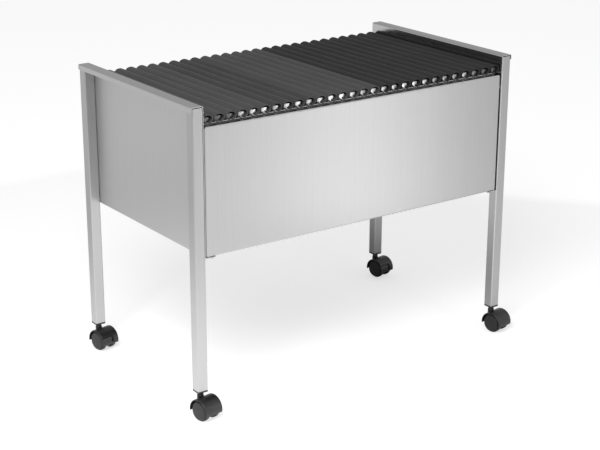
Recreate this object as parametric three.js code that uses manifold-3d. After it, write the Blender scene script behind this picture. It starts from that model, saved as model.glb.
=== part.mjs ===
// Mobile file cart: four square legs on twin-wheel casters carry two folded side panels and, between them,
// a front and a rear sheet panel whose upturned rails hold a row of hanging files.
// Millimetres, +Z up, +X along the row of files, -Y towards the user, the floor at Z = 0.

import * as THREE from 'three';
import { mergeVertices } from 'three/addons/utils/BufferGeometryUtils.js';
import Module from 'manifold-3d';

const wasm = await Module();
wasm.setup();

// Frame
const WIDTH = 734; // outside the legs, along X
const DEPTH = 411; // outside the legs, along Y
const HEIGHT = 584; // floor to the top of the side panels
const LEG_SIZE = 21; // square tube
const LEG_WALL = 1.5;
const LEG_CORNER = 2; // outside radius of the tube's corners
const LEG_INNER_CORNER = 0.5;
const SHEET = 1.2; // panel sheet
const BEND_INSIDE = 1.2; // inside radius of every fold
const SEAT_GAP = 0.3; // between pieces that seat on each other without a shared flat face

// Side panels
const SIDE_FLANGE = 22; // inward reach of the bottom flange that the front and rear panels stand on
const SIDE_LIP = 10; // height of the lip that hangs outside the legs
const LIP_CLEARANCE = 0.8; // lip to leg

// Front and rear panels
const PANEL_HEIGHT = 238;
const PANEL_DROP = 38; // below the top of the side panels
const PANEL_RECESS = 1; // behind the outer faces of the legs
const PANEL_END_GAP = 1.8; // panel end to side panel
const PANEL_RETURN = 14; // end folds, turned towards the other panel
const PANEL_FLANGE = 15; // bottom fold
const PANEL_CORNER = 5; // rounded bottom corners
const PANEL_BOSS_RADIUS = 5; // spacers on the end folds
const PANEL_BOSS_DROP = 25; // spacer below the panel's top
const RAIL_SETBACK = 15.6; // panel face to the inner face of the rail
const RAIL_LIP = 2.4; // rail above the panel's top

// Hanging files
const RIDGE_WIDTH = 23.4;
const RIDGE_CROWN = 8.5; // height of the half-round part
const RIDGE_SKIRT = 8.5; // height of the part below it, which curls under
const RIDGE_WALL = 2;
const RIDGE_SLOT = 6; // opening underneath, where the leaf comes out
const RIDGE_LIFT = 0.6; // ridge above the rail
const RIDGE_OVERHANG = 10.4; // ridge end beyond the inner face of the rail
const FILE_GAP = 1.2; // least distance between two ridges of an even row
const FILE_END_GAP = 0.8; // last ridge to side panel
const FILE_CROWDING = 0.024; // share by which the row is tighter at its left end
const HOOK_THICKNESS = 1.6;
const HOOK_CLEARANCE = 1.1; // each side of the rail
const HOOK_NOSE = 1.6; // hook below the rail's top
const HOOK_REACH = 1.5; // hook beyond the end of the ridge
const HOOK_HEEL = 6; // bar below the rail's top, inside the rail
const LEAF_SETBACK = 6; // leaf end to rail
const LEAF_THICKNESS = 0.8;
const LEAF_SPACING = 3.8; // between the middles of the two leaves
const LEAF_FLAT = 0.4; // between the two bends at the bottom of the leaf
const LEAF_CLEARANCE = 14; // bottom fold above the side panel's flange
const FRONT_LEAF_DROP = 20; // shorter front leaf, below the bar

// Casters; angles are counted round the axle, from +Y over the top
const CASTER_HEIGHT = 54; // floor to the leg's lower end
const CASTER_TRAIL = 15; // stem to axle
const CASTER_TURN = 10; // all four swivelled alike, as the cart was rolled into place
const WHEEL_RADIUS = 20;
const WHEEL_WIDTH = 12.5;
const WHEEL_BORE_DEPTH = 9;
const WHEEL_DOME = 0.6; // rise of the outer face
const SHOULDER_REACH = 5.5; // rounding of the outer tread edge, towards the axle
const SHOULDER_RUN = 3.8; // the same, across the tread
const TREAD_CHAMFER = 1.6; // inner tread edge
const WEB_THICKNESS = 14; // hood's web between the wheels
const WEB_CLEARANCE = 0.5; // wheel to web
const WEB_INSET = 4; // web below the axle, inside the tread
const HOOD_CLEARANCE = 1.2; // tread to hood
const HOOD_WALL = 2;
const HOOD_FRONT_ANGLE = 205;
const HOOD_REAR_ANGLE = -8;
const AXLE_RADIUS = 3;
const AXLE_CLEARANCE = 0.3;
const AXLE_INSET = 1.5; // axle end short of the bottom of the wheel's bore
const NECK_RADIUS = 5.5;
const NECK_FOOT_RADIUS = 7;
const NECK_FOOT_DROP = 4.2; // top of the wide foot, below the hood's crown
const NECK_TAPER = 4;
const STEM_RADIUS = 4;
const STEM_LENGTH = 20; // inside the leg
const STEM_END_GAP = 1.5; // between the stem's end and the bottom of its socket
const PLUG_FLANGE = 3.5;
const PLUG_LENGTH = 28;
const NECK_GAP = 0.4; // neck to plug flange

// Brake levers of the two rear casters
const WINDOW_ANGLE = 148; // top of the lever's window in the hood
const WINDOW_OVERRUN = 5; // reach of its cut past the hood's lower edge
const EAR_INSET = 2.2; // web round the brake pivot, inside the hood
const EAR_ANGLE = 172; // lower end of that stretch
const SLOT_EDGE = 8.4; // right edge of the slot beside the lever, from the middle of the caster
const SLOT_WIDTH = 6;
const SLOT_ANGLE = 181; // lower end of the slot, where the lever's toe begins
const LEVER_TOP_ANGLE = 153;
const LEVER_CLEARANCE = 0.6; // toe to hood
const PIVOT_INSET = 3.2; // brake pivot inside the hood's inner face
const PIVOT_ANGLE = 157;
const KNUCKLE_RADIUS = 2.4;
const LEVER_NECK = 2.8;

// Facets
const WHEEL_SIDES = 24;
const SHOULDER_STEPS = 2;
const PIN_SIDES = 16;
const BEND_STEPS = 3;
const RIDGE_STEPS = 12;
const HOOD_STEPS = 16;
const CORNER_STEPS = 4;
const WELD = 1e-4;
const CUT_MARGIN = 1; // reach of a cutting shape past the faces that it cuts

// Places that several pieces share
const legX = (WIDTH - LEG_SIZE) / 2;
const legY = (DEPTH - LEG_SIZE) / 2;
const bendRadius = BEND_INSIDE + SHEET / 2;
const bendOutside = BEND_INSIDE + SHEET;
const webOuterX = WIDTH / 2 - LEG_SIZE;
const webInnerX = webOuterX - SHEET;
const legTop = HEIGHT - SHEET - BEND_INSIDE - SEAT_GAP;
const panelTop = HEIGHT - PANEL_DROP;
const panelBottom = panelTop - PANEL_HEIGHT;
const panelFaceY = DEPTH / 2 - PANEL_RECESS;
const railY = panelFaceY - RAIL_SETBACK;
const railTop = panelTop + RAIL_LIP;
const treadCorner = WHEEL_RADIUS / Math.cos(Math.PI / WHEEL_SIDES);
const hoodInside = WHEEL_RADIUS + HOOD_CLEARANCE;
const hoodOutside = hoodInside + HOOD_WALL;
const hoodHalfWidth = WEB_THICKNESS / 2 + WEB_CLEARANCE + WHEEL_WIDTH;
const boreRadius = AXLE_RADIUS + AXLE_CLEARANCE;
const pivotRadius = hoodInside - PIVOT_INSET;
const leverEdge = SLOT_EDGE - SLOT_WIDTH;

const materials = {
  sheet: { color: 0xc9cacb, roughness: 0.38, metalness: 0.85 },
  tube: { color: 0xb9babb, roughness: 0.35, metalness: 0.85 },
  plastic: { color: 0x2a2b2d, roughness: 0.5, metalness: 0 },
  tread: { color: 0x35363a, roughness: 0.6, metalness: 0 },
  steel: { color: 0xd0d0d0, roughness: 0.3, metalness: 1 },
  file: { color: 0x1c1c1e, roughness: 0.55, metalness: 0 },
};

// Directions that the local axes of a section and its depth take
const X = new THREE.Vector3(1, 0, 0);
const Y = new THREE.Vector3(0, 1, 0);
const Z = new THREE.Vector3(0, 0, 1);
const SECTION_AXES = {
  x: new THREE.Matrix4().makeBasis(Y, Z, X),
  y: new THREE.Matrix4().makeBasis(X, Z, Y.clone().negate()),
  z: new THREE.Matrix4().makeBasis(X, Y, Z),
};

const radians = THREE.MathUtils.degToRad;
const casterTurn = radians(CASTER_TURN);

function solid(geometry) {
  geometry.deleteAttribute('normal');
  geometry.deleteAttribute('uv');
  const welded = mergeVertices(geometry, WELD);
  const corners = welded.index.array;
  const triangles = [];
  for (let i = 0; i < corners.length; i += 3) {
    const [a, b, c] = corners.slice(i, i + 3);
    if (a !== b && b !== c && c !== a) {
      triangles.push(a, b, c);
    }
  }
  return new wasm.Manifold(new wasm.Mesh({
    numProp: 3,
    vertProperties: welded.attributes.position.array,
    triVerts: Uint32Array.from(triangles),
  }));
}

function join(first, ...others) {
  return others.reduce((whole, other) => whole.add(other), first);
}

function cut(first, ...tools) {
  return tools.reduce((whole, tool) => whole.subtract(tool), first);
}

function mesh(name, body, material) {
  const { vertProperties, triVerts } = body.getMesh();
  const geometry = new THREE.BufferGeometry();
  geometry.setAttribute('position', new THREE.BufferAttribute(vertProperties, 3));
  geometry.setIndex(new THREE.BufferAttribute(triVerts, 1));
  geometry.computeVertexNormals();
  const made = new THREE.Mesh(geometry, new THREE.MeshStandardMaterial(materials[material]));
  made.name = name;
  return made;
}

// A section drawn in (Y, Z), (X, Z) or (X, Y) and run along the third axis.
function prism(shape, axis, from, to, arcSteps = CORNER_STEPS) {
  const geometry = new THREE.ExtrudeGeometry(shape, {
    depth: to - from,
    bevelEnabled: false,
    curveSegments: arcSteps / 2,
  });
  geometry.translate(0, 0, axis === 'y' ? -to : from);
  geometry.applyMatrix4(SECTION_AXES[axis]);
  return solid(geometry);
}

function disc(radius, x = 0, y = 0) {
  return new THREE.Shape().absarc(x, y, radius, 0, 2 * Math.PI, false);
}

function roundedRectangle(x0, y0, x1, y1, bottomRadius, topRadius) {
  const shape = new THREE.Shape();
  shape.absarc(x1 - bottomRadius, y0 + bottomRadius, bottomRadius, -Math.PI / 2, 0, false);
  shape.absarc(x1 - topRadius, y1 - topRadius, topRadius, 0, Math.PI / 2, false);
  shape.absarc(x0 + topRadius, y1 - topRadius, topRadius, Math.PI / 2, Math.PI, false);
  shape.absarc(x0 + bottomRadius, y0 + bottomRadius, bottomRadius, Math.PI, 1.5 * Math.PI, false);
  return shape;
}

function roundedSquare(size, radius) {
  return roundedRectangle(-size / 2, -size / 2, size / 2, size / 2, radius, radius);
}

function outline(points) {
  return new THREE.Shape(points.map(([x, y]) => new THREE.Vector2(x, y)));
}

function rectangle(x0, y0, x1, y1) {
  return outline([[x0, y0], [x1, y0], [x1, y1], [x0, y1]]);
}

function ringSector(inside, outside, from, to) {
  const shape = new THREE.Shape();
  shape.absarc(0, 0, outside, radians(from), radians(to), false);
  shape.absarc(0, 0, inside, radians(to), radians(from), true);
  return shape;
}

// The section of a folded sheet: its middle line runs from point to point, with an arc at each fold.
function foldedSheet(points, thickness, radius) {
  const path = points.map(([x, y]) => new THREE.Vector2(x, y));
  const left = [];
  const right = [];
  const place = (middle, normal) => {
    left.push(middle.clone().addScaledVector(normal, thickness / 2));
    right.unshift(middle.clone().addScaledVector(normal, -thickness / 2));
  };
  const normalTo = (a, b) => {
    const along = b.clone().sub(a).normalize();
    return new THREE.Vector2(-along.y, along.x);
  };
  const last = path.length - 1;
  place(path[0], normalTo(path[0], path[1]));
  for (let i = 1; i < last; i += 1) {
    const into = normalTo(path[i - 1], path[i]);
    const out = normalTo(path[i], path[i + 1]);
    const turn = Math.atan2(into.cross(out), into.dot(out));
    const side = Math.sign(turn);
    const bisector = into.clone().add(out).normalize();
    const centre = path[i].clone().addScaledVector(bisector, side * radius / Math.cos(turn / 2));
    for (let step = 0; step <= BEND_STEPS; step += 1) {
      const normal = into.clone().rotateAround(new THREE.Vector2(), turn * step / BEND_STEPS);
      place(centre.clone().addScaledVector(normal, -side * radius), normal);
    }
  }
  place(path[last], normalTo(path[last - 1], path[last]));
  return new THREE.Shape([...left, ...right]);
}

// Frame pieces

function leg() {
  const section = roundedSquare(LEG_SIZE, LEG_CORNER);
  section.holes.push(roundedSquare(LEG_SIZE - 2 * LEG_WALL, LEG_INNER_CORNER));
  return prism(section, 'z', CASTER_HEIGHT, legTop);
}

function legPlug() {
  const inside = LEG_SIZE - 2 * (LEG_WALL + SEAT_GAP);
  const bottom = CASTER_HEIGHT - PLUG_FLANGE;
  const flange = prism(roundedSquare(LEG_SIZE, LEG_CORNER), 'z', bottom, CASTER_HEIGHT);
  const body = prism(roundedSquare(inside, LEG_CORNER), 'z', bottom, CASTER_HEIGHT + PLUG_LENGTH);
  const socketTop = CASTER_HEIGHT + STEM_LENGTH + STEM_END_GAP;
  const socket = prism(disc(STEM_RADIUS + SEAT_GAP), 'z', 0, socketTop, PIN_SIDES);
  return cut(join(flange, body), socket);
}

// Web inside the legs, folded outwards over their tops and down outside them, and inwards at the bottom.
function sidePanel() {
  const webX = webOuterX - SHEET / 2;
  const lipX = WIDTH / 2 + LIP_CLEARANCE + SHEET / 2;
  const section = foldedSheet([
    [webOuterX - SIDE_FLANGE, panelBottom - SHEET / 2],
    [webX, panelBottom - SHEET / 2],
    [webX, HEIGHT - SHEET / 2],
    [lipX, HEIGHT - SHEET / 2],
    [lipX, HEIGHT - SIDE_LIP],
  ], SHEET, bendRadius);
  return prism(section, 'y', -DEPTH / 2, DEPTH / 2);
}

// Face with folded ends, a bottom fold and a top fold that ends in the rail, drawn for the +Y side.
function longPanel() {
  const half = webInnerX - PANEL_END_GAP;
  const faceY = panelFaceY - SHEET / 2;
  const endX = half - SHEET / 2;
  const foldRoot = 2 * bendOutside;
  const tray = prism(foldedSheet([
    [-endX, panelFaceY - PANEL_RETURN],
    [-endX, faceY],
    [endX, faceY],
    [endX, panelFaceY - PANEL_RETURN],
  ], SHEET, bendRadius), 'z', panelBottom, panelTop - bendOutside);
  const front = roundedRectangle(-half, panelBottom, half, panelTop, PANEL_CORNER, BEND_INSIDE);
  const rounded = tray.intersect(prism(front, 'y', 0, DEPTH));
  const topFold = prism(foldedSheet([
    [faceY, panelTop - foldRoot],
    [faceY, panelTop - SHEET / 2],
    [railY + SHEET / 2, panelTop - SHEET / 2],
    [railY + SHEET / 2, railTop],
  ], SHEET, bendRadius), 'x', -half + bendOutside, half - bendOutside);
  const bottomFold = prism(foldedSheet([
    [faceY, panelBottom + foldRoot],
    [faceY, panelBottom + SHEET / 2],
    [panelFaceY - PANEL_FLANGE, panelBottom + SHEET / 2],
  ], SHEET, bendRadius), 'x', -half + PANEL_CORNER, half - PANEL_CORNER);
  const bottomEdge = rectangle(
    panelFaceY - bendOutside, panelBottom - CUT_MARGIN,
    panelFaceY + CUT_MARGIN, panelBottom + bendOutside,
  );
  const bottomCut = prism(bottomEdge, 'x', -half + PANEL_CORNER, half - PANEL_CORNER);
  const bossShape = disc(PANEL_BOSS_RADIUS, panelFaceY - PANEL_RETURN / 2, panelTop - PANEL_BOSS_DROP);
  const boss = (from, to) => prism(bossShape, 'x', from, to, PIN_SIDES);
  return join(
    cut(rounded, bottomCut), topFold, bottomFold,
    boss(endX, webInnerX - SEAT_GAP), boss(SEAT_GAP - webInnerX, -endX),
  );
}

// Hanging files

function ridgeSection() {
  const half = RIDGE_WIDTH / 2;
  const middle = railTop + RIDGE_LIFT + RIDGE_SKIRT;
  const slotAngle = Math.acos(RIDGE_SLOT / RIDGE_WIDTH);
  const around = (inset) => Array.from({ length: RIDGE_STEPS + 1 }, (_, i) => {
    const angle = -slotAngle + (Math.PI + 2 * slotAngle) * i / RIDGE_STEPS;
    const rise = Math.sin(angle) > 0 ? RIDGE_CROWN : RIDGE_SKIRT;
    return new THREE.Vector2((half - inset) * Math.cos(angle), middle + (rise - inset) * Math.sin(angle));
  });
  return new THREE.Shape([...around(0), ...around(RIDGE_WALL).reverse()]);
}

// Half-round ridge, a bar with a hook at each end, and a folded leaf with a shorter front, in one strip.
function hangingFile() {
  const ridgeEnd = railY + RIDGE_OVERHANG;
  const ridge = prism(ridgeSection(), 'y', -ridgeEnd, ridgeEnd);
  const crown = railTop + RIDGE_LIFT + RIDGE_SKIRT + RIDGE_CROWN - RIDGE_WALL / 2;
  const tip = ridgeEnd + HOOK_REACH;
  const outer = railY + SHEET + HOOK_CLEARANCE;
  const inner = railY - HOOK_CLEARANCE;
  const halfBar = [
    [tip, crown],
    [tip, railTop - HOOK_NOSE],
    [outer, railTop - HOOK_NOSE],
    [outer, railTop],
    [inner, railTop],
    [inner, railTop - HOOK_HEEL],
  ];
  const mirrored = halfBar.map(([y, z]) => [-y, z]).reverse();
  const barShape = outline([...halfBar, ...mirrored]);
  const bar = prism(barShape, 'x', -HOOK_THICKNESS / 2, HOOK_THICKNESS / 2);
  const leafEnd = railY - LEAF_SETBACK;
  const leafBottom = panelBottom + LEAF_CLEARANCE;
  const leafBend = (LEAF_SPACING - LEAF_FLAT) / 2;
  const leaf = prism(foldedSheet([
    [0, railTop - HOOK_HEEL / 2],
    [0, leafBottom],
    [-LEAF_SPACING, leafBottom],
    [-LEAF_SPACING, railTop - HOOK_HEEL - FRONT_LEAF_DROP],
  ], LEAF_THICKNESS, leafBend), 'y', -leafEnd, leafEnd);
  return join(ridge, bar, leaf);
}

// Casters, drawn round the swivel axis

// Half-drum shell over both wheels, on a web that stands between them and holds the axle.
function hoodShell() {
  const half = WEB_THICKNESS / 2;
  const shell = prism(
    ringSector(hoodInside, hoodOutside, HOOD_REAR_ANGLE, HOOD_FRONT_ANGLE),
    'x', -hoodHalfWidth, hoodHalfWidth, HOOD_STEPS,
  );
  const webShape = new THREE.Shape();
  const edge = (radius, from, to) => webShape.absarc(0, 0, radius, radians(from), radians(to), false);
  edge(hoodInside + HOOD_WALL / 2, HOOD_REAR_ANGLE, HOOD_FRONT_ANGLE);
  edge(WHEEL_RADIUS - WEB_INSET, HOOD_FRONT_ANGLE, HOOD_REAR_ANGLE + 360);
  const web = prism(webShape, 'x', -half, half, HOOD_STEPS);
  const axleBore = prism(disc(boreRadius), 'x', -half - CUT_MARGIN, half + CUT_MARGIN, PIN_SIDES);
  return cut(join(shell, web), axleBore);
}

// Window in the front of a braked hood, from its left edge to the slot beside the lever, with the snap
// socket that holds the lever's knuckle in the web.
function leverWindow() {
  const half = WEB_THICKNESS / 2;
  const end = HOOD_FRONT_ANGLE + WINDOW_OVERRUN;
  const shape = new THREE.Shape();
  const edge = (radius, from, to) => shape.absarc(0, 0, radius, radians(from), radians(to), to < from);
  edge(hoodOutside + CUT_MARGIN, WINDOW_ANGLE, end);
  edge(WHEEL_RADIUS - WEB_INSET + SEAT_GAP, end, EAR_ANGLE);
  edge(hoodInside - EAR_INSET, EAR_ANGLE, WINDOW_ANGLE);
  const opening = prism(shape, 'x', -hoodHalfWidth - CUT_MARGIN, SLOT_EDGE, HOOD_STEPS);
  const pivotY = pivotRadius * Math.cos(radians(PIVOT_ANGLE));
  const pivotZ = pivotRadius * Math.sin(radians(PIVOT_ANGLE));
  const socketShape = disc(KNUCKLE_RADIUS + SEAT_GAP, pivotY, pivotZ);
  return join(opening, prism(socketShape, 'x', -half - CUT_MARGIN, leverEdge + SEAT_GAP, PIN_SIDES));
}

function hood(round) {
  const neckTop = CASTER_HEIGHT - PLUG_FLANGE - NECK_GAP;
  const footTop = WHEEL_RADIUS + hoodOutside - NECK_FOOT_DROP;
  const neck = solid(new THREE.LatheGeometry([
    [0, WHEEL_RADIUS],
    [NECK_FOOT_RADIUS, WHEEL_RADIUS],
    [NECK_FOOT_RADIUS, footTop],
    [NECK_RADIUS, footTop + NECK_TAPER],
    [NECK_RADIUS, neckTop],
    [STEM_RADIUS, neckTop],
    [STEM_RADIUS, CASTER_HEIGHT + STEM_LENGTH],
    [0, CASTER_HEIGHT + STEM_LENGTH],
  ].map(([radius, z]) => new THREE.Vector2(radius, z)), PIN_SIDES).rotateX(Math.PI / 2));
  const drum = disc(hoodInside + HOOD_WALL / 2);
  const wheelRoom = prism(drum, 'x', -hoodHalfWidth, hoodHalfWidth, 2 * WHEEL_SIDES);
  const axlePlace = [0, -CASTER_TRAIL, WHEEL_RADIUS];
  return join(round.translate(axlePlace), cut(neck, wheelRoom.translate(axlePlace)));
}

function wheel() {
  const shoulder = Array.from({ length: SHOULDER_STEPS + 1 }, (_, i) => {
    const angle = Math.PI / 2 * i / SHOULDER_STEPS;
    return [
      treadCorner - SHOULDER_REACH * (1 - Math.sin(angle)),
      WHEEL_WIDTH - WHEEL_DOME - SHOULDER_RUN * (1 - Math.cos(angle)),
    ];
  });
  const outer = [
    [0, WHEEL_WIDTH],
    ...shoulder,
    [treadCorner, TREAD_CHAMFER],
    [treadCorner - TREAD_CHAMFER, 0],
    [boreRadius, 0],
    [boreRadius, WHEEL_BORE_DEPTH],
    [0, WHEEL_BORE_DEPTH],
  ];
  const profile = outer.map(([radius, x]) => new THREE.Vector2(radius, x)).reverse();
  const halfFacet = Math.PI / WHEEL_SIDES;
  const turned = new THREE.LatheGeometry(profile, WHEEL_SIDES, halfFacet);
  return solid(turned.applyMatrix4(new THREE.Matrix4().makeBasis(Z, X, Y)));
}

function axle() {
  const end = WEB_THICKNESS / 2 + WEB_CLEARANCE + WHEEL_BORE_DEPTH - AXLE_INSET;
  return prism(disc(AXLE_RADIUS), 'x', -end, end, PIN_SIDES);
}

// Curved pedal in the hood's window, over the left tread, with a toe that closes the slot at its lower end,
// and a neck and a round knuckle that snaps into the hood's web.
function brakeLever() {
  const half = WEB_THICKNESS / 2;
  const toeEnd = SLOT_EDGE - LEVER_CLEARANCE;
  const pedal = prism(
    ringSector(hoodInside, hoodOutside, LEVER_TOP_ANGLE, HOOD_FRONT_ANGLE),
    'x', -hoodHalfWidth, toeEnd, HOOD_STEPS / 2,
  );
  const slot = prism(
    ringSector(hoodInside - CUT_MARGIN, hoodOutside + CUT_MARGIN, WINDOW_ANGLE, SLOT_ANGLE),
    'x', leverEdge, toeEnd + CUT_MARGIN, HOOD_STEPS / 2,
  );
  const neckEnd = hoodInside + HOOD_WALL / 2;
  const neckShape = rectangle(pivotRadius, -LEVER_NECK / 2, neckEnd, LEVER_NECK / 2);
  const neck = prism(neckShape, 'x', -half, leverEdge);
  const knuckle = prism(disc(KNUCKLE_RADIUS, pivotRadius, 0), 'x', -half, leverEdge, PIN_SIDES);
  return join(cut(pedal, slot), join(neck, knuckle).rotate([PIVOT_ANGLE, 0, 0]));
}

// Assembly

const cart = new THREE.Group();

const legs = new THREE.Group();
const legSolid = leg();
const plugSolid = legPlug();
const plainHood = hood(hoodShell());
const brakedHood = hood(cut(hoodShell(), leverWindow()));
const wheelSolid = wheel();
const axleSolid = axle();
const leverSolid = brakeLever();
const corners = [
  { name: 'front_left', x: -legX, y: -legY, braked: false },
  { name: 'front_right', x: legX, y: -legY, braked: false },
  { name: 'rear_left', x: -legX, y: legY, braked: true },
  { name: 'rear_right', x: legX, y: legY, braked: true },
];
for (const corner of corners) {
  const post = new THREE.Group();
  post.position.set(corner.x, corner.y, 0);
  post.add(mesh(`leg_${corner.name}`, legSolid, 'tube'));
  post.add(mesh(`leg_plug_${corner.name}`, plugSolid, 'plastic'));

  const caster = new THREE.Group();
  caster.rotation.z = casterTurn;
  caster.add(mesh(`caster_hood_${corner.name}`, corner.braked ? brakedHood : plainHood, 'plastic'));
  const axis = new THREE.Group();
  axis.position.set(0, -CASTER_TRAIL, WHEEL_RADIUS);
  axis.add(mesh(`caster_axle_${corner.name}`, axleSolid, 'steel'));
  for (const [sideName, side] of [['left', -1], ['right', 1]]) {
    const tyre = mesh(`caster_wheel_${corner.name}_${sideName}`, wheelSolid, 'tread');
    tyre.position.x = side * (WEB_THICKNESS / 2 + WEB_CLEARANCE);
    tyre.rotation.z = side < 0 ? Math.PI : 0;
    axis.add(tyre);
  }
  if (corner.braked) {
    axis.add(mesh(`brake_lever_${corner.name}`, leverSolid, 'plastic'));
  }
  caster.add(axis);
  post.add(caster);
  legs.add(post);
}
cart.add(legs);

const panels = new THREE.Group();
const sideSolid = sidePanel();
const longSolid = longPanel();
const rightPanel = mesh('side_panel_right', sideSolid, 'sheet');
const leftPanel = mesh('side_panel_left', sideSolid, 'sheet');
leftPanel.rotation.z = Math.PI;
const rearPanel = mesh('rear_panel', longSolid, 'sheet');
const frontPanel = mesh('front_panel', longSolid, 'sheet');
frontPanel.rotation.z = Math.PI;
panels.add(rightPanel, leftPanel, rearPanel, frontPanel);
cart.add(panels);

const files = new THREE.Group();
const fileSolid = hangingFile();
const rowLength = 2 * (webInnerX - FILE_END_GAP) - RIDGE_WIDTH;
const fileSteps = Math.floor(rowLength / (RIDGE_WIDTH + FILE_GAP));
for (let i = 0; i <= fileSteps; i += 1) {
  const along = i / fileSteps;
  const file = mesh(`hanging_file_${String(i + 1).padStart(2, '0')}`, fileSolid, 'file');
  file.position.x = rowLength * (along - 0.5 - FILE_CROWDING * along * (1 - along));
  files.add(file);
}
cart.add(files);

// The casters trail forwards: the origin is under the middle of the whole outline.
const trail = new THREE.Vector2(0, -CASTER_TRAIL).rotateAround(new THREE.Vector2(), casterTurn);
const casterReach = hoodOutside * Math.cos(casterTurn) + hoodHalfWidth * Math.sin(casterTurn);
const frontReach = legY - trail.y + casterReach;
const rearReach = Math.max(DEPTH / 2, legY + trail.y + casterReach);
cart.position.set(-trail.x, (frontReach - rearReach) / 2, 0);

export default cart;
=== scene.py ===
"""Looks of the mobile file cart: finishes for the folded steel, finely shaped files and casters, and a
plain white studio. Metres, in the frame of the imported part: +Z up, +X along the row of files, -Y towards
the user."""

import math

import bmesh
import bpy
from mathutils import Matrix, Vector


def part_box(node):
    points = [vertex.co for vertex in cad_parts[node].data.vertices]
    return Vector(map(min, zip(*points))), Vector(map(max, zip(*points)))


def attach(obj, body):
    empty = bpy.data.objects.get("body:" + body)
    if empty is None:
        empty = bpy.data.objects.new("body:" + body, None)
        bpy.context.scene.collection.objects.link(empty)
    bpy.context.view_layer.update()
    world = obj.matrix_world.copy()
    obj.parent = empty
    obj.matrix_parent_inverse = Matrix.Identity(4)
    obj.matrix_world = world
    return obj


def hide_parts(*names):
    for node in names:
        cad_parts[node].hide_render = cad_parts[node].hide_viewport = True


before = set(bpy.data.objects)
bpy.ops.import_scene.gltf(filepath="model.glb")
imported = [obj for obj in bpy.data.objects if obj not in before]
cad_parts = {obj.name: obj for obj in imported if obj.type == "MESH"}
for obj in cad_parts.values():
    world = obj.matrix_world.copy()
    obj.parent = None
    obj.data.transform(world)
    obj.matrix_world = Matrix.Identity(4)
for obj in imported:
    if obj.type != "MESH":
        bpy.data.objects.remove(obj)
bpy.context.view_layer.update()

MM = 0.001
CORNERS = ("front_left", "front_right", "rear_left", "rear_right")
BRAKED_CORNERS = ("rear_left", "rear_right")
SIDES = (("left", -1), ("right", 1))
FILE_NODES = sorted(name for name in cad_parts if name.startswith("hanging_file_"))

# Camera, measured on the photograph
CAMERA_PLACE = Vector((-1.6160, -2.2509, 1.2028))
CAMERA_YAW = math.radians(35.54)
CAMERA_PITCH = math.radians(-19.02)
CAMERA_ROLL = math.radians(0.12)
CAMERA_LENS = 87.65
CAMERA_SENSOR = 36

# Hanging files
RIDGE_CROWN = 8.5 * MM
RIDGE_SKIRT = 8.5 * MM
RIDGE_WALL = 2 * MM
RIDGE_SLOT = 6 * MM
HOOK_REACH = 1.5 * MM
HOOK_HEEL = 6 * MM
BAR_THICKNESS = 1.6 * MM
BAR_SOFTENING = 0.2 * MM
TAB_RECESS = 5 * MM
TAB_THICKNESS = 1 * MM
TAB_HALF_WIDTH = 6.2 * MM
TAB_ROOT_HALF_WIDTH = 2.2 * MM
TAB_SHOULDER = 4.2 * MM
TAB_TOP = 11.5 * MM
TAB_CORNER = 2.4 * MM
TAB_SOFTENING = 0.25 * MM
LEAF_THICKNESS = 0.8 * MM
LEAF_SPACING = 3.8 * MM
LEAF_END_GAP = 17.9 * MM
FRONT_LEAF_DROP = 20 * MM

# Casters, with angles in degrees from the rear over the top, and the neck's fillet in its own section
WHEEL_RADIUS = 20 * MM
WHEEL_WIDTH = 12.5 * MM
HOOD_CLEARANCE = 1.2 * MM
HOOD_WALL = 2 * MM
HOOD_EDGE = 1.5 * MM
HOOD_FRONT_ANGLE = 192
HOOD_REAR_ANGLE = -8
WEB_HALF = 7 * MM
WEB_CLEARANCE = 0.5 * MM
WEB_RADIUS = 16 * MM
WEB_END_ANGLE = 1
NECK_RADIUS = 5.5 * MM
NECK_FOOT_RADIUS = 6.8 * MM
NECK_FILLET = 2.4 * MM
NECK_FILLET_RISE = 2 * MM
NECK_FILLET_FROM = 230
NECK_FILLET_TO = 180
STEM_RADIUS = 4 * MM
PLUG_GAP = 0.4 * MM
WHEEL_RECESS = 0.8 * MM
WHEEL_DOME = 0.6 * MM
DISC_RADIUS = 17.4 * MM
DISC_EDGE = 0.8 * MM
GROOVE_DEPTH = 3.6 * MM
TREAD_EDGE = 1.6 * MM
TREAD_CHAMFER = 1.6 * MM
BORE_RADIUS = 3.3 * MM
BORE_DEPTH = 9 * MM
WINDOW_ANGLE = 148
WINDOW_OVERRUN = 5
EAR_ANGLE = 172
EAR_INSET = 2.2 * MM
SLOT_EDGE = 8.4 * MM
SLOT_WIDTH = 6 * MM
SLOT_ANGLE = 181
LEVER_TOP_ANGLE = 153
LEVER_CLEARANCE = 0.6 * MM
PIVOT_ANGLE = 157
PIVOT_INSET = 3.2 * MM
KNUCKLE_RADIUS = 2.4 * MM
LEVER_NECK = 2.8 * MM
SEAT_GAP = 0.3 * MM
CUT_MARGIN = 1 * MM

# Screws under the side panels' flanges
SCREW_HEAD_RADIUS = 4.5 * MM
SCREW_HEAD_HEIGHT = 3.2 * MM
SCREW_RIM_SHARE = 0.35
SCREW_INBOARD = 16 * MM
SCREW_SETBACK = 5.5 * MM
RECESS_LENGTH = 4.4 * MM
RECESS_WIDTH = 1 * MM
RECESS_DEPTH = 1.2 * MM

# Fineness of the round shapes
ARC_STEPS = 8
RIDGE_STEPS = 40
TURN_STEPS = 72
TAB_CORNER_STEPS = 4
LEAF_FOLD_STEPS = 12
KNUCKLE_STEPS = 24
WHEEL_DOME_STEPS = 6
SCREW_STEPS = 32
BEVEL_SEGMENTS = 3
BEVEL_ANGLE = math.radians(45)
SHARP_ANGLE = math.radians(32)
MERGE_DISTANCE = 0.001 * MM
SHORTEST_EDGE = 0.0001 * MM

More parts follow.
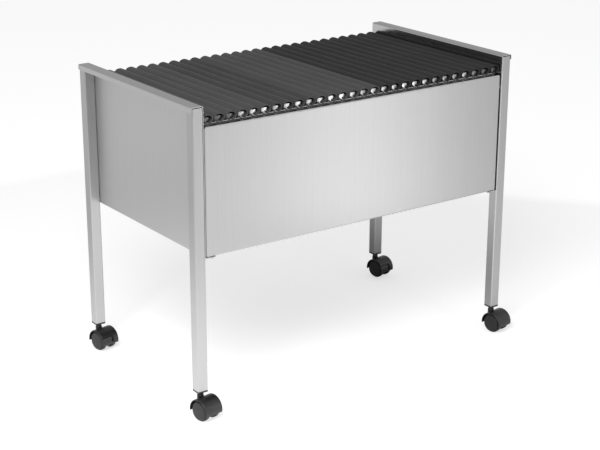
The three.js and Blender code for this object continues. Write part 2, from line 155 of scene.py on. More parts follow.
# Grain of the finishes: waves to the metre along X, Y and Z, and strength and depth of the relief
HAIR_WAVES = (1300, 1300, 6)
HAIR_RELIEF = (0.04, 0.05 * MM)
MOTTLE_WAVES = (160, 160, 160)
MOTTLE_RELIEF = (0.1, 0.1 * MM)
MOTTLE_TONES = (0.6, 1.0)
SPECK_WAVES = (1600, 1600, 1600)
SPECK_RELIEF = (0.12, 0.15 * MM)
WEAR_WAVES = (70, 70, 70)
LINE_WAVES = (1100, 5, 1100)
LINE_RELIEF = (0.1, 0.1 * MM)
STREAK_WAVES = (60, 9, 60)
FIBRE_WAVES = (900, 260, 260)
FIBRE_RELIEF = (0.2, 0.1 * MM)
FLECK_WAVES = (150, 150, 150)

# Tones along the row of files, by the place of a file on X, with painted shade on the right-hand files and
# at both ends of the row
DULL_BATCH = (-205 * MM, -105 * MM)
# files from here on get a darker, less glossy copy of the file plastic: painted shade
SHADED_BATCH_FROM = 45 * MM
# the plates of the files near both ends of the row are darkened: painted shade from the side panels and legs
LEFT_END = (-288 * MM, -264 * MM)
RIGHT_END = (285 * MM, 305 * MM)
END_SHADE = 0.22
PIECE_TONES = (0.35, 0.85)

# Sleeker faces of the panels, which mirror the files
INNER_FACE_FROM = 200 * MM
LEVEL_FACE_FROM = 0.95
SLEEK_SHARE = 0.6

# Sockets of a mix node that are in use for colours
MIX_DARK = 6
MIX_LIGHT = 7
MIX_COLOUR = 2


# Node materials

def add_node(tree, kind, inputs=None, **settings):
    """A node with its settings; each input takes a number or the output of another node."""
    node = tree.nodes.new(kind)
    for key, value in settings.items():
        setattr(node, key, value)
    for key, value in (inputs or {}).items():
        if isinstance(value, bpy.types.NodeSocket):
            tree.links.new(value, node.inputs[key])
        else:
            node.inputs[key].default_value = value
    return node


def grain(tree, waves, detail=4.0, roughness=0.55):
    """Noise with so many waves to the metre along X, Y and Z of the piece."""
    place = add_node(tree, "ShaderNodeTexCoord").outputs["Object"]
    spread = add_node(tree, "ShaderNodeMapping", {"Vector": place, "Scale": waves}).outputs["Vector"]
    noise = {"Vector": spread, "Scale": 1.0, "Detail": detail, "Roughness": roughness}
    return add_node(tree, "ShaderNodeTexNoise", noise).outputs["Fac"]


def spread_to(tree, value, low, high, from_low=0.3, from_high=0.7):
    """A value taken from one range to another, by default from the range where most of a noise lies."""
    limits = {"Value": value, "From Min": from_low, "From Max": from_high, "To Min": low, "To Max": high}
    return add_node(tree, "ShaderNodeMapRange", limits).outputs["Result"]


def calculated(tree, operation, first, second):
    return add_node(tree, "ShaderNodeMath", {0: first, 1: second}, operation=operation).outputs[0]


def vectors(tree, operation, first, second):
    """Outputs of an operation on two vectors."""
    return add_node(tree, "ShaderNodeVectorMath", {0: first, 1: second}, operation=operation).outputs


def along(tree, axis, vector):
    return add_node(tree, "ShaderNodeSeparateXYZ", {"Vector": vector}).outputs[axis]


def tint(tree, value, dark, light):
    mixed = add_node(tree, "ShaderNodeMix", {"Factor": value}, data_type="RGBA")
    mixed.inputs[MIX_DARK].default_value = (*dark, 1)
    mixed.inputs[MIX_LIGHT].default_value = (*light, 1)
    return mixed.outputs[MIX_COLOUR]


def grey(level):
    return (level, level, level)


def finish(name, **sockets):
    """A node material; keywords set the sockets of its shader, with _ for a space."""
    material = bpy.data.materials.new(name)
    material.use_nodes = True
    shader = material.node_tree.nodes["Principled BSDF"]
    for key, value in sockets.items():
        shader.inputs[key.replace("_", " ")].default_value = value
    return material, material.node_tree, shader


def connect(tree, shader, colour, roughness, height, relief):
    """Links a shader to its colour and roughness, and to a relief of some strength and depth."""
    strength, depth = relief
    bump = {"Height": height, "Strength": strength, "Distance": depth}
    tree.links.new(colour, shader.inputs["Base Color"])
    tree.links.new(roughness, shader.inputs["Roughness"])
    tree.links.new(add_node(tree, "ShaderNodeBump", bump).outputs["Normal"], shader.inputs["Normal"])


def level_direction(tree):
    """Level direction along an upright face; on a level face it is X."""
    upright = (0, 0, 1)
    slight_x = (0.01, 0, 0)
    facing = add_node(tree, "ShaderNodeNewGeometry").outputs["Normal"]
    level = vectors(tree, "CROSS_PRODUCT", upright, facing)["Vector"]
    return vectors(tree, "ADD", level, slight_x)["Vector"]


def facing_inward(tree):
    """1 on the inner faces of the side panels, and 0 on other faces."""
    surface = add_node(tree, "ShaderNodeNewGeometry").outputs
    facing = along(tree, "X", surface["Normal"])
    outward = calculated(tree, "MULTIPLY", facing, along(tree, "X", surface["Position"]))
    return calculated(tree, "LESS_THAN", outward, -INNER_FACE_FROM)


def facing_up(tree):
    """1 on level upper faces, and 0 on other faces."""
    facing = add_node(tree, "ShaderNodeNewGeometry").outputs["Normal"]
    return calculated(tree, "GREATER_THAN", along(tree, "Z", facing), LEVEL_FACE_FROM)


def brushed_steel(name, dark, light, smooth, rough, sleek_faces=None):
    """Satin steel whose fine upright brushing spreads its reflections sideways, and some sleeker faces."""
    material, tree, shader = finish(name, Metallic=1.0, Anisotropic=0.7)
    hairs = grain(tree, HAIR_WAVES, roughness=0.6)
    colour = tint(tree, spread_to(tree, hairs, 0.0, 1.0), dark, light)
    roughness = spread_to(tree, hairs, smooth, rough)
    if sleek_faces:
        share = spread_to(tree, sleek_faces(tree), 1.0, SLEEK_SHARE, 0.0, 1.0)
        roughness = calculated(tree, "MULTIPLY", roughness, share)
    connect(tree, shader, colour, roughness, hairs, HAIR_RELIEF)
    tree.links.new(level_direction(tree), shader.inputs["Tangent"])
    return material


def plated_steel(name, dark, light, smooth, rough, end_shade=1.0):
    """Plated steel with a faint mottle, whose brightness differs by piece, with painted shade darkening it
    at the row's ends.
    """
    material, tree, shader = finish(name, Metallic=1.0)
    mottle = grain(tree, MOTTLE_WAVES)
    piece = add_node(tree, "ShaderNodeObjectInfo").outputs
    place = along(tree, "X", piece["Location"])
    # painted shade: pieces near both ends of the row get a darker colour
    left = spread_to(tree, place, end_shade, 1.0, *LEFT_END)
    right = spread_to(tree, place, 1.0, end_shade, *RIGHT_END)
    own = spread_to(tree, piece["Random"], *PIECE_TONES, 0.0, 1.0)
    ends = calculated(tree, "MULTIPLY", left, right)
    mottled = calculated(tree, "MULTIPLY", own, spread_to(tree, mottle, *MOTTLE_TONES))
    colour = tint(tree, calculated(tree, "MULTIPLY", ends, mottled), dark, light)
    connect(tree, shader, colour, spread_to(tree, mottle, smooth, rough), mottle, MOTTLE_RELIEF)
    return material


def moulded_plastic(name, dark, light, smooth, rough, **sockets):
    """Dark plastic with a fine moulded grain and faint cloudy wear."""
    material, tree, shader = finish(name, **sockets)
    specks = grain(tree, SPECK_WAVES, detail=3.0)
    wear = grain(tree, WEAR_WAVES)
    colour = tint(tree, spread_to(tree, wear, 0.0, 1.0), dark, light)
    connect(tree, shader, colour, spread_to(tree, wear, smooth, rough), specks, SPECK_RELIEF)
    return material


def drawn_strip(name, dark, light, smooth, rough, **sockets):
    """Extruded plastic strip with faint lines along its length."""
    material, tree, shader = finish(name, **sockets)
    lines = grain(tree, LINE_WAVES, detail=3.0)
    streaks = grain(tree, STREAK_WAVES, detail=3.0)
    colour = tint(tree, spread_to(tree, streaks, 0.0, 1.0), dark, light)
    connect(tree, shader, colour, spread_to(tree, lines, smooth, rough), lines, LINE_RELIEF)
    return material


def folded_card(name, dark, light, smooth, rough):
    """Dull pressed card of the leaves."""
    material, tree, shader = finish(name)
    fibres = grain(tree, FIBRE_WAVES, detail=5.0)
    flecks = grain(tree, FLECK_WAVES)
    colour = tint(tree, spread_to(tree, flecks, 0.0, 1.0), dark, light)
    connect(tree, shader, colour, spread_to(tree, flecks, smooth, rough), fibres, FIBRE_RELIEF)
    return material


PANEL_STEEL = brushed_steel(
    "panel_steel", dark=grey(0.41), light=grey(0.455), smooth=0.36, rough=0.4, sleek_faces=facing_up)
# lighter copy of the panel steel for the side panels: painted light that makes up for what they mirror
BRIGHTENED_SIDE_STEEL = brushed_steel(
    "side_steel_painted_light", dark=grey(0.45), light=grey(0.5), smooth=0.36, rough=0.4, sleek_faces=facing_inward)
LEG_STEEL = brushed_steel(
    "leg_steel", dark=grey(0.4), light=grey(0.425), smooth=0.34, rough=0.4)
BRIGHT_STEEL = plated_steel(
    "bright_steel", dark=grey(0.05), light=(0.9, 0.9, 0.89), smooth=0.28, rough=0.4, end_shade=END_SHADE)
ZINC_STEEL = plated_steel(
    "zinc_steel", dark=grey(0.28), light=grey(0.36), smooth=0.35, rough=0.45)
BLACK_PLASTIC = moulded_plastic(
    "black_plastic", dark=(0.012, 0.012, 0.013), light=(0.019, 0.019, 0.02), smooth=0.32, rough=0.42,
    Specular_IOR_Level=0.42)
WHEEL_PLASTIC = moulded_plastic(
    "wheel_plastic", dark=(0.012, 0.012, 0.013), light=(0.018, 0.018, 0.019), smooth=0.42, rough=0.52,
    Specular_IOR_Level=0.32)
PALE_FILE_PLASTIC = drawn_strip(
    "file_plastic", dark=(0.034, 0.034, 0.035), light=(0.046, 0.046, 0.047), smooth=0.62, rough=0.74)
DULL_FILE_PLASTIC = drawn_strip(
    "dull_file_plastic", dark=(0.021, 0.021, 0.022), light=(0.031, 0.031, 0.032), smooth=0.62, rough=0.74)
# darker copy with less sheen for the files right of the middle: painted shade, not a different plastic
SHADED_FILE_PLASTIC = drawn_strip(
    "painted_shade_file_plastic", dark=grey(0.012), light=(0.019, 0.019, 0.02), smooth=0.64, rough=0.76,
    Specular_IOR_Level=0.3)
FILE_CARD = folded_card(
    "file_card", dark=(0.016, 0.016, 0.017), light=(0.03, 0.03, 0.031), smooth=0.7, rough=0.85)


# Mesh building

def loft(rings, closed_loop=False):
    """Faces between successive rings of points, with flat ends unless the last ring meets the first."""
    shape = bmesh.new()
    made = [[shape.verts.new(point) for point in ring] for ring in rings]
    following = made[1:] + made[:1] if closed_loop else made[1:]
    for ring, after in zip(made, following):
        for i in range(len(ring)):
            j = (i + 1) % len(ring)
            shape.faces.new((ring[i], ring[j], after[j], after[i]))
    if not closed_loop:
        shape.faces.new(reversed(made[0]))
        shape.faces.new(made[-1])
    return shape


def arc(centre, radius, start, end, steps=ARC_STEPS):
    """Points on a circle in a flat section, angles in degrees."""
    angles = (math.radians(start + (end - start) * i / steps) for i in range(steps + 1))
    return [(centre[0] + radius * math.cos(a), centre[1] + radius * math.sin(a)) for a in angles]


def circle(centre, radius, steps):
    return arc(centre, radius, 0, 360, steps)[:-1]


def ring_sector(inside, outside, start, end):
    """Outline of a piece of a flat ring."""
    steps = TURN_STEPS // 2
    return arc((0, 0), outside, start, end, steps) + arc((0, 0), inside, end, start, steps)


def along_x(section, start, end):
    """A section drawn in (Y, Z), run along X."""
    return loft([[Vector((x, y, z)) for y, z in section] for x in (start, end)])


def along_y(section, start, end):
    """A section drawn in (X, Z), run along Y."""
    return loft([[Vector((x, y, z)) for x, z in section] for y in (start, end)])


def turned(profile, start=0, end=360, steps=TURN_STEPS):
    """A closed profile of (radius, x) turned round the X axis; angles go from +Y over the top."""
    full = end - start == 360
    turns = [math.radians(start + (end - start) * i / steps) for i in range(steps if full else steps + 1)]
    rings = [[Vector((x, r * math.cos(a), r * math.sin(a))) for r, x in profile] for a in turns]
    shape = loft(rings, closed_loop=full)
    bmesh.ops.remove_doubles(shape, verts=shape.verts, dist=MERGE_DISTANCE)
    on_axis = [edge for edge in shape.edges if not edge.link_faces]
    bmesh.ops.delete(shape, geom=on_axis, context="EDGES")
    return shape


def stand_up(shape):
    """Turns a shape made round the X axis so that its axis points up."""
    bmesh.ops.rotate(shape, verts=shape.verts, matrix=Matrix.Rotation(-math.pi / 2, 3, "Y"))
    return shape


def to_mesh(name, shape):
    mesh = bpy.data.meshes.new(name)
    bmesh.ops.dissolve_degenerate(shape, dist=SHORTEST_EDGE, edges=shape.edges)
    bmesh.ops.recalc_face_normals(shape, faces=shape.faces)
    shape.to_mesh(mesh)
    shape.free()
    return mesh


def evaluated(mesh, name, kind, settings):
    """The mesh after a modifier of some kind."""
    holder = bpy.data.objects.new(name, mesh)
    bpy.context.scene.collection.objects.link(holder)
    modifier = holder.modifiers.new(kind.lower(), kind)
    for key, value in settings.items():
        setattr(modifier, key, value)
    graph = bpy.context.evaluated_depsgraph_get()
    made = bpy.data.meshes.new_from_object(holder.evaluated_get(graph))
    bpy.data.objects.remove(holder)
    return made


def softened(shape, width):
    """Rounds the sharp edges of a shape."""
    settings = {
        "width": width, "segments": BEVEL_SEGMENTS, "limit_method": "ANGLE", "angle_limit": BEVEL_ANGLE}
    return evaluated(to_mesh("softened", shape), "softened", "BEVEL", settings)


def combined(first, others, operation):
    """Joins meshes to the first one, or cuts them from it."""
    made = first
    for other in others:
        tool = bpy.data.objects.new("tool", other)
        bpy.context.scene.collection.objects.link(tool)
        settings = {"object": tool, "operation": operation, "solver": "EXACT"}
        made = evaluated(made, "combined", "BOOLEAN", settings)
        bpy.data.objects.remove(tool)
    return made


def add_piece(name, mesh, place, body, material, slot, *nodes):
    """Puts a mesh in the scene as a piece that rides on a body and stands for the given nodes."""
    mesh.shade_smooth()
    mesh.set_sharp_from_angle(angle=SHARP_ANGLE)
    mesh.materials.clear()
    mesh.materials.append(material)
    piece = bpy.data.objects.new(name, mesh)
    piece.matrix_world = place
    bpy.context.scene.collection.objects.link(piece)
    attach(piece, body)
    if nodes:
        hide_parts(*nodes)
    return piece


def middle(node):
    low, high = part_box(node)
    return (low + high) / 2


# Hanging files, drawn round the middle of a file with the rail's top at Z = 0

def ridge_mesh(half_width, half_length, top):
    """Half-round strip with a slot along its underside."""
    centre = top - RIDGE_CROWN
    slot_angle = math.acos(RIDGE_SLOT / 2 / half_width)

    def wall(inset):
        points = []
        for i in range(RIDGE_STEPS + 1):
            angle = -slot_angle + (math.pi + 2 * slot_angle) * i / RIDGE_STEPS
            rise = RIDGE_CROWN if math.sin(angle) > 0 else RIDGE_SKIRT
            across = (half_width - inset) * math.cos(angle)
            points.append((across, centre + (rise - inset) * math.sin(angle)))
        return points

    return to_mesh("ridge", along_y(wall(0) + wall(RIDGE_WALL)[::-1], -half_length, half_length))


def tab_section():
    """Front view of the hook's end: a narrow root through the ridge's slot under a wide rounded plate."""
    top = TAB_TOP - TAB_CORNER
    side = TAB_HALF_WIDTH - TAB_CORNER
    right = [(TAB_ROOT_HALF_WIDTH, 0), (TAB_ROOT_HALF_WIDTH, TAB_SHOULDER), (TAB_HALF_WIDTH, TAB_SHOULDER)]
    right += arc((side, top), TAB_CORNER, 0, 90, TAB_CORNER_STEPS)
    return right + [(-x, z) for x, z in reversed(right)]


def bar_mesh(half_length):
    """Upright bar on the rails, with a plate across each end."""
    half = BAR_THICKNESS / 2
    inner = half_length - TAB_THICKNESS
    top = TAB_TOP - TAB_CORNER
    bar = along_x([(-inner, 0), (inner, 0), (inner, top), (-inner, top)], -half, half)
    ends = ((-half_length, -inner), (inner, half_length))
    tabs = [softened(along_y(tab_section(), *end), TAB_SOFTENING) for end in ends]
    return combined(softened(bar, BAR_SOFTENING), tabs, "UNION")


def leaf_mesh(half_length, bottom):
    """Folded leaf: a tall back, a round bottom and a lower front."""
    radius = LEAF_SPACING / 2
    half = LEAF_THICKNESS / 2
    fold = (-radius, bottom + half + radius)
    front_top = -HOOK_HEEL - FRONT_LEAF_DROP
    outside = [(half, 0)]
    outside += arc(fold, radius + half, 0, -180, LEAF_FOLD_STEPS)
    outside += [(-LEAF_SPACING - half, front_top)]
    inside = [(half - LEAF_SPACING, front_top)]
    inside += arc(fold, radius - half, -180, 0, LEAF_FOLD_STEPS)
    inside += [(-half, 0)]
    return to_mesh("leaf", along_y(outside + inside, -half_length, half_length))


def add_files():
    rail_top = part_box("front_panel")[1].z
    low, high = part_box(FILE_NODES[0])
    reach = (high.y - low.y) / 2
    ridge_reach = reach - HOOK_REACH
    pale_ridge = ridge_mesh((high.x - low.x) / 2, ridge_reach, high.z - rail_top)
    dull_ridge = pale_ridge.copy()
    shaded_ridge = pale_ridge.copy()
    bar = bar_mesh(ridge_reach - TAB_RECESS)
    leaf = leaf_mesh(reach - LEAF_END_GAP, low.z - rail_top)
    for node in FILE_NODES:
        centre = middle(node)
        place = Matrix.Translation((centre.x, centre.y, rail_top))
        ridge, plastic = pale_ridge, PALE_FILE_PLASTIC
        if DULL_BATCH[0] < centre.x < DULL_BATCH[1]:
            ridge, plastic = dull_ridge, DULL_FILE_PLASTIC
        elif centre.x > SHADED_BATCH_FROM:
            ridge, plastic = shaded_ridge, SHADED_FILE_PLASTIC
        add_piece(f"{node}_ridge", ridge, place, node, plastic, "file_plastic", node)
        add_piece(f"{node}_bar", bar, place, node, BRIGHT_STEEL, "axle_steel")
        add_piece(f"{node}_leaf", leaf, place, node, FILE_CARD, "file_plastic")


# Casters, drawn round the middle of the axle

def hood_section(inside, outside, left, right):
    """Section of the hood's wall as (radius, x), with rounded outer edges."""
    corner = outside - HOOD_EDGE
    right_edge = arc((corner, right - HOOD_EDGE), HOOD_EDGE, 90, 0)
    left_edge = arc((corner, left + HOOD_EDGE), HOOD_EDGE, 0, -90)
    return [(inside, right)] + right_edge + left_edge + [(inside, left)]


def neck_mesh(stem, neck_top, stem_top, drum_top):
    """Neck that flares into the drum, with the stem above it."""
    flare_centre = (NECK_RADIUS + NECK_FILLET, drum_top + NECK_FILLET_RISE)
    profile = [(0, 0), (NECK_FOOT_RADIUS, 0)]
    profile += arc(flare_centre, NECK_FILLET, NECK_FILLET_FROM, NECK_FILLET_TO)
    profile += [(NECK_RADIUS, neck_top), (STEM_RADIUS, neck_top), (STEM_RADIUS, stem_top), (0, stem_top)]
    shape = stand_up(turned(profile))
    bmesh.ops.translate(shape, verts=shape.verts, vec=stem)
    return to_mesh("neck", shape)


def drum_mesh(radius, half_width):
    profile = [(0, -half_width), (radius, -half_width), (radius, half_width), (0, half_width)]
    return to_mesh("drum", turned(profile))


def hood_mesh(inside, outside, half_width, stem, neck_top, stem_top):
    """Turned hood with the web between the wheels, the neck and the stem."""
    wall = hood_section(inside, outside, -half_width, half_width)
    shell = to_mesh("shell", turned(wall, HOOD_REAR_ANGLE, HOOD_FRONT_ANGLE))
    in_wall = inside + HOOD_WALL / 2
    web_start = HOOD_REAR_ANGLE + WEB_END_ANGLE
    web_end = HOOD_FRONT_ANGLE - WEB_END_ANGLE
    web_outline = arc((0, 0), in_wall, web_start, web_end, TURN_STEPS)
    web_outline += arc((0, 0), WEB_RADIUS, HOOD_FRONT_ANGLE, HOOD_REAR_ANGLE + 360, TURN_STEPS // 2)
    web = to_mesh("web", along_x(web_outline, -WEB_HALF, WEB_HALF))
    room = drum_mesh(inside + HOOD_WALL / 4, half_width + CUT_MARGIN)
    neck = combined(neck_mesh(stem, neck_top, stem_top, outside), [room], "DIFFERENCE")
    return combined(shell, [web, neck], "UNION")


def window_mesh(inside, outside, half_width):
    """What is cut from a hood for its brake lever."""
    end = HOOD_FRONT_ANGLE + WINDOW_OVERRUN
    opening = arc((0, 0), outside + CUT_MARGIN, WINDOW_ANGLE, end, TURN_STEPS // 3)
    opening += arc((0, 0), WEB_RADIUS + SEAT_GAP, end, EAR_ANGLE)
    opening += arc((0, 0), inside - EAR_INSET, EAR_ANGLE, WINDOW_ANGLE)
    return to_mesh("window", along_x(opening, -half_width - CUT_MARGIN, SLOT_EDGE))


def lever_mesh(inside, outside, half_width):
    """Curved pedal with a toe across the slot, and the snap knuckle behind it."""
    edge = SLOT_EDGE - SLOT_WIDTH
    toe_end = SLOT_EDGE - LEVER_CLEARANCE
    wall = hood_section(inside, outside, -half_width, toe_end)
    pedal = to_mesh("pedal", turned(wall, LEVER_TOP_ANGLE, HOOD_FRONT_ANGLE))
    opening = ring_sector(inside - CUT_MARGIN, outside + CUT_MARGIN, WINDOW_ANGLE, SLOT_ANGLE)
    slot = to_mesh("slot", along_x(opening, edge, toe_end + CUT_MARGIN))
    plate = combined(pedal, [slot], "DIFFERENCE")
    pivot = inside - PIVOT_INSET
    neck_end = inside + HOOD_WALL / 2
    half = LEVER_NECK / 2
    neck = along_x([(pivot, -half), (neck_end, -half), (neck_end, half), (pivot, half)], -WEB_HALF, edge)
    round_end = circle((pivot, 0), KNUCKLE_RADIUS, KNUCKLE_STEPS)
    knuckle = along_x(round_end, -WEB_HALF - SEAT_GAP, edge + SEAT_GAP)
    turn = Matrix.Rotation(math.radians(PIVOT_ANGLE), 3, "X")
    for shape in (neck, knuckle):
        bmesh.ops.rotate(shape, verts=shape.verts, matrix=turn)
    return combined(plate, [to_mesh("neck", neck), to_mesh("knuckle", knuckle)], "UNION")


def wheel_mesh(side):
    """Domed disc, a groove round it, a rounded tread and a blind bore, with the inner face at X = 0."""
    face = WHEEL_WIDTH - WHEEL_RECESS
    groove = face - GROOVE_DEPTH
    shares = [i / WHEEL_DOME_STEPS for i in range(WHEEL_DOME_STEPS)]
    profile = [(DISC_RADIUS * share, face - WHEEL_DOME * share ** 2) for share in shares]
    profile += arc((DISC_RADIUS - DISC_EDGE, face - WHEEL_DOME - DISC_EDGE), DISC_EDGE, 90, 0)
    profile += [(DISC_RADIUS, groove)]
    profile += arc((WHEEL_RADIUS - TREAD_EDGE, groove - TREAD_EDGE), TREAD_EDGE, 90, 0)
    profile += [(WHEEL_RADIUS, TREAD_CHAMFER), (WHEEL_RADIUS - TREAD_CHAMFER, 0), (BORE_RADIUS, 0)]
    profile += [(BORE_RADIUS, BORE_DEPTH), (0, BORE_DEPTH)]
    return to_mesh("wheel", turned([(r, side * x) for r, x in profile]))


def add_casters():
    inside = WHEEL_RADIUS + HOOD_CLEARANCE
    outside = inside + HOOD_WALL
    wheel_inner = WEB_HALF + WEB_CLEARANCE
    half_width = wheel_inner + WHEEL_WIDTH
    lever = lever_mesh(inside, outside, half_width)
    wheels = {side: wheel_mesh(side) for _, side in SIDES}
    for corner in CORNERS:
        body = f"caster_{corner}"
        hood_node = f"caster_hood_{corner}"
        axle = middle(f"caster_axle_{corner}")
        stem = middle(f"leg_{corner}") - axle
        stem.z = 0
        neck_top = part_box(f"leg_plug_{corner}")[0].z - PLUG_GAP - axle.z
        stem_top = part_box(hood_node)[1].z - axle.z
        hood = hood_mesh(inside, outside, half_width, Vector((0, stem.length, 0)), neck_top, stem_top)
        place = Matrix.Translation(axle) @ Matrix.Rotation(math.atan2(-stem.x, stem.y), 4, "Z")
        if corner in BRAKED_CORNERS:
            hood = combined(hood, [window_mesh(inside, outside, half_width)], "DIFFERENCE")
            node = f"brake_lever_{corner}"
            add_piece(f"{node}_pedal", lever, place, node, BLACK_PLASTIC, "black_plastic", node)
        add_piece(f"{hood_node}_shell", hood, place, body, BLACK_PLASTIC, "black_plastic", hood_node)
        for side_name, side in SIDES:
            node = f"caster_wheel_{corner}_{side_name}"
            beside_web = place @ Matrix.Translation((side * wheel_inner, 0, 0))
            add_piece(f"{node}_disc", wheels[side], beside_web, node, WHEEL_PLASTIC, "wheel_plastic", node)


# Screws that hold the long panels on the side panels' flanges

def screw_mesh():
    """Domed head with a cross recess, pointing down."""
    profile = [(0, 0), (SCREW_HEAD_RADIUS, 0)]
    for i in range(ARC_STEPS):
        angle = math.pi / 2 * i / ARC_STEPS
        rise = SCREW_RIM_SHARE + (1 - SCREW_RIM_SHARE) * math.sin(angle)
        profile.append((SCREW_HEAD_RADIUS * math.cos(angle), SCREW_HEAD_HEIGHT * rise))
    profile.append((0, SCREW_HEAD_HEIGHT))
    head = to_mesh("screw", stand_up(turned(profile, steps=SCREW_STEPS)))
    bottom = SCREW_HEAD_HEIGHT - RECESS_DEPTH
    top = 2 * SCREW_HEAD_HEIGHT
    slots = []
    for length, width in ((RECESS_LENGTH, RECESS_WIDTH), (RECESS_WIDTH, RECESS_LENGTH)):
        half = width / 2
        section = [(-half, bottom), (half, bottom), (half, top), (-half, top)]
        slots.append(to_mesh("recess", along_x(section, -length / 2, length / 2)))
    cross = combined(slots[0], slots[1:], "UNION")
    made = combined(head, [cross], "DIFFERENCE")
    made.transform(Matrix.Rotation(math.pi, 4, "X"))
    return made


def add_screws():
    mesh = screw_mesh()
    for side_name, side in SIDES:
        low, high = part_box(f"side_panel_{side_name}")
        leg = middle(f"leg_front_{side_name}")
        leg_low, leg_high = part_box(f"leg_front_{side_name}")
        web = leg.x - side * (leg_high.x - leg_low.x) / 2
        for end_name, y in (("front", low.y + SCREW_SETBACK), ("rear", high.y - SCREW_SETBACK)):
            place = Matrix.Translation((web - side * SCREW_INBOARD, y, low.z))
            name = f"panel_screw_{end_name}_{side_name}"
            add_piece(name, mesh, place, "frame", ZINC_STEEL, "axle_steel")


def dress_cad_nodes():
    """Finishes for the nodes that keep their own shape, chosen by the start of a node's name, each listed
    with its slot name.
    """
    finishes = {
        "leg_plug": ("black_plastic", BLACK_PLASTIC),
        "leg": ("leg_steel", LEG_STEEL),
        "side_panel": ("panel_steel", BRIGHTENED_SIDE_STEEL),
        "front_panel": ("panel_steel", PANEL_STEEL),
        "rear_panel": ("panel_steel", PANEL_STEEL),
        "caster_axle": ("axle_steel", BRIGHT_STEEL),
    }
    for name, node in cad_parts.items():
        match = next((finishes[start] for start in finishes if name.startswith(start)), None)
        if match:
            slot, material = match
            for holder in node.material_slots:
                holder.material = material


# Studio: glow of the floor and the sky, with distances in metres

FLOOR_HALF = 8
FLOOR_TONE = 0.6
SHOWN_GLOW = 0.6
LIT_SIDE = (-0.7, -0.7, 0)
LIT_GLOW = 0.78
SHADED_GLOW = 0.46
GLOW_REACH = 0.7
LEFT_DIM = 0.6
LEFT_FROM = -1.1
LEFT_TO = -0.5
FRONT_DIM = 0.7
FRONT_FROM = -1.2
FRONT_TO = -0.5
BACK_GLOW = 0.68
BACK_FROM = 0.6
BACK_TO = 1.4
FAR_SIDE = (0.77, 0.64, 0)
FAR_FROM = 0.5
FAR_TO = 1.1
SHADE_CENTRE = (0.4, 0.3, 0)
SHADE_GLOW = 0.05
SHADE_FROM = 0.25
SHADE_TO = 0.75
POOL_CENTRE = (-0.45, -0.3, 0)
POOL_GLOW = 0.55
POOL_FROM = 0.3
POOL_TO = 1.1
WORLD_OVERHEAD = 0.5
WORLD_FRONT = 1.0
WORLD_FILL = 0.4
FRONT_SKY = -0.35
BACK_SKY = 0.1
HORIZON_SINE = 0.05
OVERHEAD_SINE = 0.22


def floor_strength(tree):
    """White for the camera, a pool of light and a shade for the steel, and no light on dull things."""
    place = add_node(tree, "ShaderNodeTexCoord").outputs["Object"]
    lit_side = vectors(tree, "DOT_PRODUCT", place, LIT_SIDE)["Value"]
    far_side = vectors(tree, "DOT_PRODUCT", place, FAR_SIDE)["Value"]
    from_shade = vectors(tree, "DISTANCE", place, SHADE_CENTRE)["Value"]
    from_pool = vectors(tree, "DISTANCE", place, POOL_CENTRE)["Value"]
    lit = spread_to(tree, lit_side, SHADED_GLOW, LIT_GLOW, -GLOW_REACH, GLOW_REACH)
    left = spread_to(tree, along(tree, "X", place), LEFT_DIM, 1.0, LEFT_FROM, LEFT_TO)
    front = spread_to(tree, along(tree, "Y", place), FRONT_DIM, 1.0, FRONT_FROM, FRONT_TO)
    back = spread_to(tree, along(tree, "Y", place), 0.0, BACK_GLOW, BACK_FROM, BACK_TO)
    far = spread_to(tree, far_side, 0.0, BACK_GLOW, FAR_FROM, FAR_TO)
    shade = spread_to(tree, from_shade, SHADE_GLOW, 1.0, SHADE_FROM, SHADE_TO)
    pool = spread_to(tree, from_pool, POOL_GLOW, 0.0, POOL_FROM, POOL_TO)
    near = calculated(tree, "MULTIPLY", lit, calculated(tree, "MULTIPLY", left, front))
    level = calculated(tree, "MAXIMUM", near, back)
    white = calculated(tree, "MAXIMUM", calculated(tree, "MAXIMUM", level, far), SHOWN_GLOW)
    studio = calculated(tree, "MULTIPLY", calculated(tree, "ADD", level, pool), shade)
    path = add_node(tree, "ShaderNodeLightPath").outputs
    shown = calculated(tree, "MULTIPLY", path["Is Camera Ray"], white)
    mirrored = calculated(tree, "MULTIPLY", path["Is Glossy Ray"], studio)
    return calculated(tree, "ADD", shown, mirrored)


def add_floor():
    """Floor that glows and keeps the cart's shadow."""
    mesh = bpy.data.meshes.new("floor")
    h = FLOOR_HALF
    mesh.from_pydata([(-h, -h, 0), (h, -h, 0), (h, h, 0), (-h, h, 0)], [], [(0, 1, 2, 3)])
    material = bpy.data.materials.new("floor")
    material.use_nodes = True
    tree = material.node_tree
    tree.nodes.clear()
    glow = add_node(tree, "ShaderNodeEmission", {"Strength": floor_strength(tree)})
    dull = add_node(tree, "ShaderNodeBsdfDiffuse", {"Color": (*grey(FLOOR_TONE), 1)})
    both = add_node(tree, "ShaderNodeAddShader", {0: glow.outputs[0], 1: dull.outputs[0]})
    add_node(tree, "ShaderNodeOutputMaterial", {"Surface": both.outputs[0]})
    mesh.materials.append(material)
    floor = bpy.data.objects.new("floor", mesh)
    bpy.context.scene.collection.objects.link(floor)


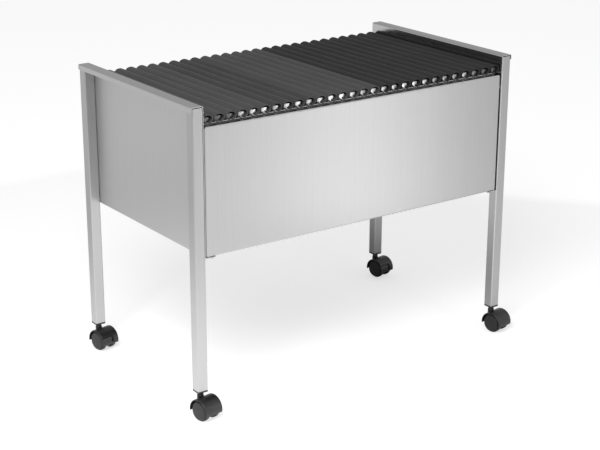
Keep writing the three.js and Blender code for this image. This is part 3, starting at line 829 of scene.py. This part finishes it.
def light_world():
    """White at the horizon and below it, grey overhead, and a weak even light on dull surfaces."""
    world = bpy.data.worlds.new("studio")
    world.use_nodes = True
    bpy.context.scene.world = world
    tree = world.node_tree
    direction = add_node(tree, "ShaderNodeTexCoord").outputs["Generated"]
    overhead = spread_to(tree, along(tree, "Y", direction), WORLD_FRONT, WORLD_OVERHEAD, FRONT_SKY, BACK_SKY)
    shown = spread_to(tree, along(tree, "Z", direction), 1.0, overhead, HORIZON_SINE, OVERHEAD_SINE)
    path = add_node(tree, "ShaderNodeLightPath").outputs
    seen = calculated(tree, "MAXIMUM", path["Is Camera Ray"], path["Is Glossy Ray"])
    strength = add_node(tree, "ShaderNodeMix", {"Factor": seen, "A": WORLD_FILL, "B": shown})
    background = tree.nodes["Background"]
    background.inputs["Color"].default_value = (1, 1, 1, 1)
    tree.links.new(strength.outputs["Result"], background.inputs["Strength"])


def add_lamp(name, place, target, width, height, power):
    """Rectangular lamp, turned to a target and unseen by the camera."""
    lamp = bpy.data.lights.new(name, "AREA")
    lamp.shape = "RECTANGLE"
    lamp.size = width
    lamp.size_y = height
    lamp.energy = power
    holder = bpy.data.objects.new(name, lamp)
    holder.location = place
    holder.rotation_euler = (Vector(target) - Vector(place)).to_track_quat("-Z", "Y").to_euler()
    holder.visible_camera = False
    bpy.context.scene.collection.objects.link(holder)


def add_camera():
    data = bpy.data.cameras.new("camera")
    data.lens = CAMERA_LENS
    data.sensor_width = CAMERA_SENSOR
    data.sensor_fit = "HORIZONTAL"
    camera = bpy.data.objects.new("camera", data)
    level = math.cos(CAMERA_PITCH)
    forward = Vector((math.sin(CAMERA_YAW) * level, math.cos(CAMERA_YAW) * level, math.sin(CAMERA_PITCH)))
    right = Vector((math.cos(CAMERA_YAW), -math.sin(CAMERA_YAW), 0))
    up = right.cross(forward)
    rolled_right = right * math.cos(CAMERA_ROLL) + up * math.sin(CAMERA_ROLL)
    rolled_up = up * math.cos(CAMERA_ROLL) - right * math.sin(CAMERA_ROLL)
    turn = Matrix((rolled_right, rolled_up, -forward)).transposed().to_4x4()
    camera.matrix_world = Matrix.Translation(CAMERA_PLACE) @ turn
    bpy.context.scene.collection.objects.link(camera)
    bpy.context.scene.camera = camera


dress_cad_nodes()
add_files()
add_casters()
add_screws()
add_floor()
light_world()
add_lamp("key", place=(-1.5, -1.3, 1.9), target=(0, 0, 0.3), width=1.1, height=1.1, power=50)
add_lamp(
    "front_strip", place=(0.38, -0.8, 0.3), target=(-0.05, -0.19, 0.45), width=0.12, height=0.5, power=0.9)
add_camera()
bpy.context.scene.view_settings.view_transform = "Standard"
